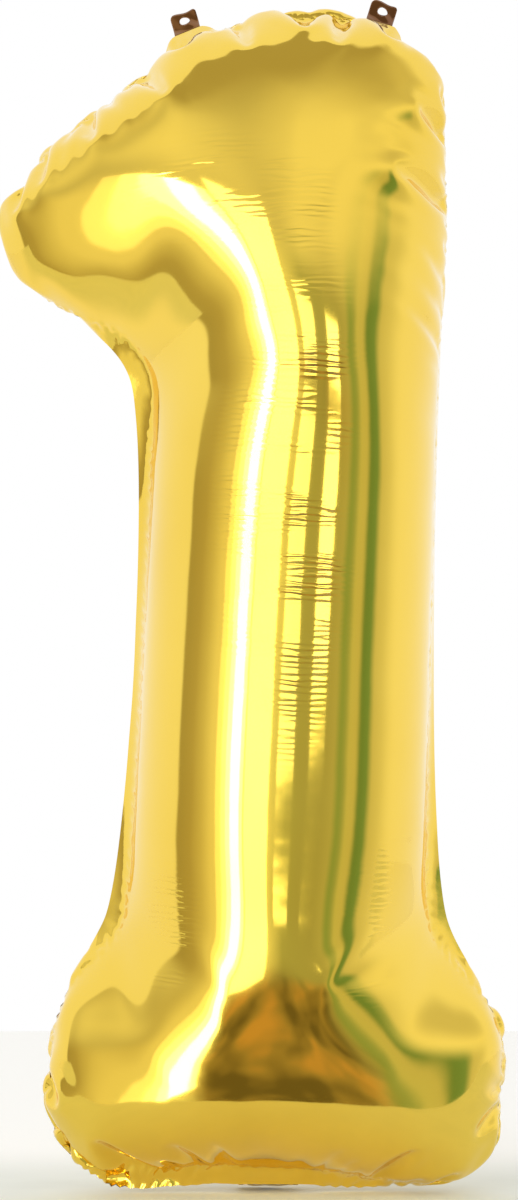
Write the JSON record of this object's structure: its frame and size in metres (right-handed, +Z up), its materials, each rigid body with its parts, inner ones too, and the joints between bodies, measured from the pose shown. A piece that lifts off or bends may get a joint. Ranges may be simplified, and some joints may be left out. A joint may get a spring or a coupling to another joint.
{
  "type": "foil number balloon",
  "caption": "Inflated gold foil balloon shaped as the digit one, with a sealed border, fill neck and punched hang tabs.",
  "frame": {"origin": "under the middle of the balloon's box, level with the lowest point of the folded fill neck", "axes": "+Z up towards the hang tabs, +X to the viewer's right, the front panel faces -Y, the seam lies in the plane Y = 0"},
  "size_m": [0.153, 0.0874, 0.3513],
  "materials": {
    "gold_foil": "mirror-smooth gold tinted metallised film",
    "weld_layer": "fused polyethylene, slightly milky",
    "valve_film": "clear polyethylene film",
    "release_print": "thin heat-resistant ink"
  },
  "bodies": {
    "balloon": {"front_panel": "gold_foil", "back_panel": "gold_foil", "seal_weld": "weld_layer", "valve_film_front": "valve_film", "valve_film_back": "valve_film", "valve_release_print": "release_print"},
    "fill_neck": {"neck_leaf_front": "gold_foil", "neck_leaf_back": "gold_foil", "neck_weld_left": "weld_layer", "neck_weld_right": "weld_layer", "inlet_film_front": "valve_film", "inlet_film_back": "valve_film"},
    "left_tab": {"hang_tab_left": "gold_foil"},
    "right_tab": {"hang_tab_right": "gold_foil"}
  },
  "joints": [
    {"name": "neck_crease", "type": "hinge", "parent": "balloon", "child": "fill_neck", "pos_m": [0.0013, 0, 0.002], "axis": [1, 0, 0], "range_deg": [-125, 10]},
    {"name": "left_tab_crease", "type": "hinge", "parent": "balloon", "child": "left_tab", "pos_m": [-0.0225, 0.0044, 0.3424], "axis": [0.9272, 0, 0.3746], "range_deg": [-35, 32]},
    {"name": "right_tab_crease", "type": "hinge", "parent": "balloon", "child": "right_tab", "pos_m": [0.0342, 0.0044, 0.3451], "axis": [0.9563, 0, -0.2924], "range_deg": [-35, 32]}
  ]
}
